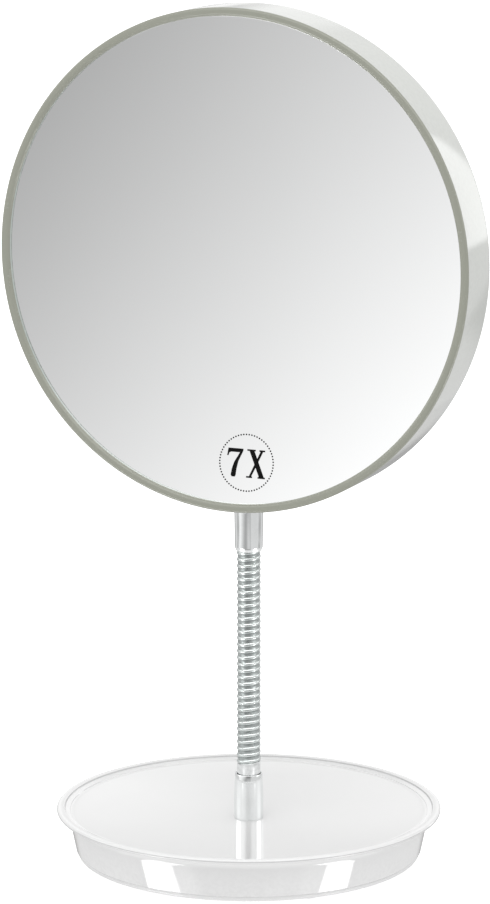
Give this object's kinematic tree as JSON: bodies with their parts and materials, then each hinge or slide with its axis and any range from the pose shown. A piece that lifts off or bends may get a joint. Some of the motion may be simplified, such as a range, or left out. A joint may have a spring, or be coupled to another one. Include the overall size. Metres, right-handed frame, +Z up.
{
  "type": "table magnifying mirror",
  "caption": "Round concave magnifying mirror in a drum housing on a bendable gooseneck, with a weighted round tray base.",
  "frame": {"origin": "centre of the base at the underside of its feet", "axes": "+Z up along the neck, the mirror faces -Y, +X to the right of someone facing the mirror"},
  "size_m": [0.185, 0.144, 0.3195],
  "materials": {
    "base_plastic": "glossy white moulded plastic",
    "cover_plastic": "fine satin moulded plastic",
    "ballast_steel": "plain stamped steel",
    "screw_steel": "zinc plated",
    "foot_rubber": "soft translucent grey rubber",
    "ferrule_chrome": "polished chrome plate",
    "round_wire_steel": "plated round wire",
    "wedge_wire_steel": "plated three-sided wire",
    "housing_plastic": "glossy off-white moulded plastic",
    "bezel_plastic": "satin grey-beige moulded plastic",
    "mirror_face": "silvered glass",
    "pad_foam": "closed-cell foam",
    "mark_print": "thin printed film"
  },
  "bodies": {
    "base": {"base_tray": "base_plastic", "ballast_plate": "ballast_steel", "bottom_cover": "cover_plastic", "cover_screws": "screw_steel", "foot_pads": "foot_rubber", "base_screw": "screw_steel", "base_washer": "screw_steel", "lower_ferrule": "ferrule_chrome", "neck_plug": "ferrule_chrome", "round_wire_00": "round_wire_steel", "wedge_wire_00": "wedge_wire_steel"},
    "neck_01": {"round_wire_01": "round_wire_steel", "wedge_wire_01": "wedge_wire_steel"},
    "neck_02": {"round_wire_02": "round_wire_steel", "wedge_wire_02": "wedge_wire_steel"},
    "neck_03": {"round_wire_03": "round_wire_steel", "wedge_wire_03": "wedge_wire_steel"},
    "neck_04": {"round_wire_04": "round_wire_steel", "wedge_wire_04": "wedge_wire_steel"},
    "neck_05": {"round_wire_05": "round_wire_steel", "wedge_wire_05": "wedge_wire_steel"},
    "neck_06": {"round_wire_06": "round_wire_steel", "wedge_wire_06": "wedge_wire_steel"},
    "neck_07": {"round_wire_07": "round_wire_steel", "wedge_wire_07": "wedge_wire_steel"},
    "neck_08": {"round_wire_08": "round_wire_steel", "wedge_wire_08": "wedge_wire_steel"},
    "neck_09": {"round_wire_09": "round_wire_steel", "wedge_wire_09": "wedge_wire_steel"},
    "neck_10": {"round_wire_10": "round_wire_steel", "wedge_wire_10": "wedge_wire_steel"},
    "head": {"mirror_housing": "housing_plastic", "bezel_ring": "bezel_plastic", "mirror_glass": "mirror_face", "glass_pad": "pad_foam", "magnification_mark": "mark_print", "upper_ferrule": "ferrule_chrome", "head_screw": "screw_steel", "head_washer": "screw_steel", "round_wire_11": "round_wire_steel", "wedge_wire_11": "wedge_wire_steel"}
  },
  "joints": [
    {"name": "nod_1", "type": "hinge", "parent": "base", "child": "neck_01", "pos_m": [0, 0, 0.03935], "axis": [1, 0, 0], "range_deg": [-11, 11]},
    {"name": "sway_1", "type": "hinge", "parent": "neck_01", "child": "neck_02", "pos_m": [0, 0, 0.04685], "axis": [0, 1, 0], "range_deg": [-9, 9]},
    {"name": "nod_2", "type": "hinge", "parent": "neck_02", "child": "neck_03", "pos_m": [0, 0, 0.05435], "axis": [1, 0, 0], "range_deg": [-11, 11]},
    {"name": "sway_2", "type": "hinge", "parent": "neck_03", "child": "neck_04", "pos_m": [0, 0, 0.06185], "axis": [0, 1, 0], "range_deg": [-9, 9]},
    {"name": "nod_3", "type": "hinge", "parent": "neck_04", "child": "neck_05", "pos_m": [0, 0, 0.06935], "axis": [1, 0, 0], "range_deg": [-11, 11]},
    {"name": "sway_3", "type": "hinge", "parent": "neck_05", "child": "neck_06", "pos_m": [0, 0, 0.07685], "axis": [0, 1, 0], "range_deg": [-9, 9]},
    {"name": "nod_4", "type": "hinge", "parent": "neck_06", "child": "neck_07", "pos_m": [0, 0, 0.08435], "axis": [1, 0, 0], "range_deg": [-11, 11]},
    {"name": "sway_4", "type": "hinge", "parent": "neck_07", "child": "neck_08", "pos_m": [0, 0, 0.09185], "axis": [0, 1, 0], "range_deg": [-9, 9]},
    {"name": "nod_5", "type": "hinge", "parent": "neck_08", "child": "neck_09", "pos_m": [0, 0, 0.09935], "axis": [1, 0, 0], "range_deg": [-11, 11]},
    {"name": "sway_5", "type": "hinge", "parent": "neck_09", "child": "neck_10", "pos_m": [0, 0, 0.10685], "axis": [0, 1, 0], "range_deg": [-9, 9]},
    {"name": "nod_6", "type": "hinge", "parent": "neck_10", "child": "head", "pos_m": [0, 0, 0.11435], "axis": [1, 0, 0], "range_deg": [-11, 11]}
  ],
  "couplings": [
    {"joint": "nod_2", "follows": "nod_1", "ratio": 1},
    {"joint": "sway_2", "follows": "sway_1", "ratio": 1},
    {"joint": "nod_3", "follows": "nod_1", "ratio": 1},
    {"joint": "sway_3", "follows": "sway_1", "ratio": 1},
    {"joint": "nod_5", "follows": "nod_4", "ratio": 1},
    {"joint": "sway_5", "follows": "sway_4", "ratio": 1},
    {"joint": "nod_6", "follows": "nod_4", "ratio": 1}
  ]
}
